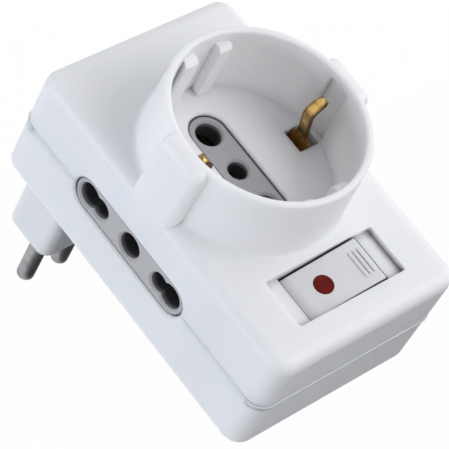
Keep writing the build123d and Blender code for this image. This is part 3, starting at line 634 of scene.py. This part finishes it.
def ledge_section(proud):
    """The section of the ledge: how far out of the wall and how far above the seam each corner is."""
    return [
        (-LEDGE_ROOT, -SEAM_GAP),
        (proud / 2, -SEAM_GAP),
        (proud, -SEAM_GAP - LEDGE_EDGE),
        (proud, -SEAM_GAP - 2 * LEDGE_EDGE),
        (0, -LEDGE_HEIGHT),
        (-LEDGE_ROOT, -LEDGE_HEIGHT),
    ]


def mesh_object(name, points, faces, finish):
    """A new object in the scene, made of the given points and faces."""
    mesh = bpy.data.meshes.new(name)
    mesh.from_pydata(points, [], faces)
    mesh.materials.append(finish)
    made = bpy.data.objects.new(name, mesh)
    bpy.context.scene.collection.objects.link(made)
    return made


section_size = len(ledge_section(LEDGE_PROUD))
for name, first_angle in (("switch_end_ledge", -QUARTER_TURN), ("plug_end_ledge", QUARTER_TURN)):
    points = []
    for place, outward in end_outline(first_angle):
        proud = LEDGE_PROUD * min(1.0, LEDGE_SINKS * abs(outward.x))
        points += [place + out * outward + Vector((0, 0, up)) for out, up in ledge_section(proud)]
    last = len(points) - section_size
    faces = []
    for start in range(0, last, section_size):
        follow = start + section_size
        for corner in range(section_size):
            after = (corner + 1) % section_size
            faces.append((start + corner, follow + corner, follow + after, start + after))
    faces.append(tuple(range(section_size)))
    faces.append(tuple(reversed(range(last, len(points)))))
    ledge = mesh_object(name, points, faces, housing_white)
    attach(ledge, "housing")
    print("made", name, "with", len(faces), "faces")

# %% [markdown]
# Floor.
# The portrait stands on white. The floor is a plain sheet under the pin tips: to the camera it is
# mostly white light, and the rest of it is a matt sheet that still takes the soft shadow. A brighter
# lamp could bleach the floor as well, but it would bleach the plastic too. The metal pins mirror the
# same white, as they do in a studio.

# %% Floor
FLOOR_HALF = 1.6
FLOOR_SHEET = (0.76, 0.77, 0.79, 1)
FLOOR_WHITE_SHARE = 0.985


def seen_directly(tree):
    """1 for rays from the camera, a mirror or a glass, and 0 for the rays that carry light about."""
    rays = tree.nodes.new("ShaderNodeLightPath").outputs
    mirrored = combined(tree, "MAXIMUM", rays["Is Glossy Ray"], rays["Is Transmission Ray"])
    return combined(tree, "MAXIMUM", rays["Is Camera Ray"], mirrored)


def white_floor_finish():
    """A matt pale sheet that looks almost pure white when seen directly."""
    finish = bpy.data.materials.new("floor_white")
    finish.use_nodes = True
    tree = finish.node_tree
    tree.nodes.clear()
    sheet = tree.nodes.new("ShaderNodeBsdfDiffuse")
    sheet.inputs["Color"].default_value = FLOOR_SHEET
    glow = tree.nodes.new("ShaderNodeEmission")
    share = between(tree, seen_directly(tree), 0.0, FLOOR_WHITE_SHARE, 0.0, 1.0)
    mix = tree.nodes.new("ShaderNodeMixShader")
    tree.links.new(share, mix.inputs["Fac"])
    tree.links.new(sheet.outputs["BSDF"], mix.inputs[1])
    tree.links.new(glow.outputs["Emission"], mix.inputs[2])
    output = tree.nodes.new("ShaderNodeOutputMaterial")
    tree.links.new(mix.outputs["Shader"], output.inputs["Surface"])
    return finish


corners = [(-1, -1), (1, -1), (1, 1), (-1, 1)]
floor_points = [(FLOOR_HALF * x, FLOOR_HALF * y, 0) for x, y in corners]
floor = mesh_object("floor", floor_points, [(0, 1, 2, 3)], white_floor_finish())
floor.location.z = cad_low.z
print("floor at", round(cad_low.z / MM, 2), "mm")

# %% [markdown]
# Dark card.
# White on white has no edges, so a studio keeps a dark card near the side that should fall into shade.
# This one lies under the switch end and stands up behind it. It dims the end and the plug, and the pins
# mirror it as their dark side. A lamp could be taken away instead, but that would dim the front as
# well. Camera rays pass through the card, so that it never stands in a picture.

# %% Dark card
CARD_NEAR_X = 2.5 * MM
CARD_FAR_X = 300 * MM
CARD_LEFT_Y = -22 * MM
CARD_RIGHT_Y = 260 * MM
CARD_TOP_Z = 90 * MM
CARD_LIFT = 0.5 * MM
CARD_SHADE = (0.03, 0.03, 0.03)
CARD_FADED = (0.05, 0.05, 0.05)
CARD_SPOT_SCALE = 60
CARD_ROUGH = 0.9


def card_finish(name):
    """Matt black card, a little faded in places."""
    finish, tree, shader = new_finish(name)
    faded = two_tone(tree, mottle(tree, CARD_SPOT_SCALE), CARD_SHADE, CARD_FADED)
    tree.links.new(faded, shader.inputs["Base Color"])
    shader.inputs["Roughness"].default_value = CARD_ROUGH
    return finish


lying_z = cad_low.z + CARD_LIFT
card_line = [(CARD_NEAR_X, lying_z), (CARD_FAR_X, lying_z), (CARD_FAR_X, CARD_TOP_Z)]
card_points = [(x, y, z) for x, z in card_line for y in (CARD_LEFT_Y, CARD_RIGHT_Y)]
card_faces = [(0, 1, 3, 2), (2, 3, 5, 4)]
dark_card = mesh_object("dark_card", card_points, card_faces, card_finish("card_black"))
dark_card.visible_camera = False
print("dark card from", round(CARD_NEAR_X / MM), "to", round(CARD_FAR_X / MM), "mm")

# %% [markdown]
# Lamps.
# A product like this is lit by a wide lamp above the switch end and a cool card that stands low on the
# left. The rounded edge between the front and the left side faces neither of them, so it goes darker
# than both. Small lamps would give hard shadows inside the round socket, so both are wide. Their power
# follows from the light that should reach the part: a lamp of power P at distance d lights a white
# surface to about P / (pi * d) ** 2.

# %% Lamps
SUBJECT = Vector((30 * MM, 0, 46 * MM))


def soft_lamp(name, direction, distance, brightness, width, height, tint):
    """A flat lamp that lights the part from a direction, as bright as a share of plain white."""
    data = bpy.data.lights.new(name, "AREA")
    data.shape = "RECTANGLE"
    data.size = width
    data.size_y = height
    data.energy = brightness * (math.pi * distance) ** 2
    data.color = tint
    lamp = bpy.data.objects.new(name, data)
    towards = Vector(direction).normalized()
    lamp.location = SUBJECT + distance * towards
    lamp.rotation_mode = "QUATERNION"
    lamp.rotation_quaternion = towards.to_track_quat("Z", "Y")
    bpy.context.scene.collection.objects.link(lamp)
    print(name, "at", [round(v, 2) for v in lamp.location], "power", round(data.energy, 2))


soft_lamp(
    "key_lamp", direction=(0.55, 0.42, 0.72), distance=0.60, brightness=0.50,
    width=0.54, height=0.54, tint=(1.0, 0.985, 0.985),
)
soft_lamp(
    "left_card", direction=(-0.25, -0.97, 0.06), distance=0.60, brightness=0.53,
    width=0.70, height=0.16, tint=(0.86, 0.92, 1.0),
)

# %% [markdown]
# White tent.
# The rest of the light comes from a tent of white cloth that is brighter over the far side. It could be
# built as a mesh with lamps behind it, but the world does the same with a few nodes: how far a
# direction points to the bright side sets the strength. Where the camera or a mirror looks past the
# part, it sees plain white.

# %% White tent
TENT_BRIGHT_SIDE = (-0.15, 0.55, 0.82)
TENT_DIM = 0.20
TENT_BRIGHT = 1.08
TENT_DIM_UNTIL = 0.2
TENT_BRIGHT_FROM = 1.0
TENT_COLOUR = (0.97, 0.98, 1.0, 1)
BACKDROP_COLOUR = (1, 1, 1, 1)

world = bpy.data.worlds.new("white_tent")
bpy.context.scene.world = world
world.use_nodes = True
tent = world.node_tree
tent.nodes.clear()
look = tent.nodes.new("ShaderNodeTexCoord")
to_bright = tent.nodes.new("ShaderNodeVectorMath")
to_bright.operation = "DOT_PRODUCT"
to_bright.inputs[1].default_value = TENT_BRIGHT_SIDE
tent.links.new(look.outputs["Generated"], to_bright.inputs[0])
facing = to_bright.outputs["Value"]
strength = between(tent, facing, TENT_DIM, TENT_BRIGHT, TENT_DIM_UNTIL, TENT_BRIGHT_FROM)
around = tent.nodes.new("ShaderNodeBackground")
around.inputs["Color"].default_value = TENT_COLOUR
tent.links.new(strength, around.inputs["Strength"])
backdrop = tent.nodes.new("ShaderNodeBackground")
backdrop.inputs["Color"].default_value = BACKDROP_COLOUR
backdrop.inputs["Strength"].default_value = 1.0
choose = tent.nodes.new("ShaderNodeMixShader")
tent.links.new(seen_directly(tent), choose.inputs["Fac"])
tent.links.new(around.outputs["Background"], choose.inputs[1])
tent.links.new(backdrop.outputs["Background"], choose.inputs[2])
tent_output = tent.nodes.new("ShaderNodeOutputWorld")
tent.links.new(choose.outputs["Shader"], tent_output.inputs["Surface"])
bpy.context.scene.view_settings.view_transform = "Standard"
print("tent light from", TENT_DIM, "to", TENT_BRIGHT)

# %% [markdown]
# Camera.
# The photograph was taken from above the switch end with a long lens, and the picture was turned so
# that the box runs down to the right. A camera could be aimed by eye, but here its place, its aim and
# its turn were measured from the known distance between the socket holes, so the render lies over the
# photograph.

# %% Camera
CAMERA_PLACE = Vector((174.6, -297.2, 425.7)) * MM
CAMERA_AIM = Vector((37.0, -13.3, 53.0)) * MM
CAMERA_TURN = math.radians(30.9)
SENSOR_WIDTH = 36.0
LENS_LENGTH = 205.9
NEAREST_SEEN = 0.01
FARTHEST_SEEN = 10.0

camera_data = bpy.data.cameras.new("portrait_camera")
camera_data.sensor_width = SENSOR_WIDTH
camera_data.lens = LENS_LENGTH
camera_data.clip_start = NEAREST_SEEN
camera_data.clip_end = FARTHEST_SEEN
camera = bpy.data.objects.new("portrait_camera", camera_data)
camera.location = CAMERA_PLACE
unturned = (CAMERA_AIM - CAMERA_PLACE).to_track_quat("-Z", "Y")
camera.rotation_mode = "QUATERNION"
camera.rotation_quaternion = unturned @ Quaternion((0, 0, 1), CAMERA_TURN)
bpy.context.scene.collection.objects.link(camera)
bpy.context.scene.camera = camera
print("camera is", round((CAMERA_AIM - CAMERA_PLACE).length / MM), "mm away")
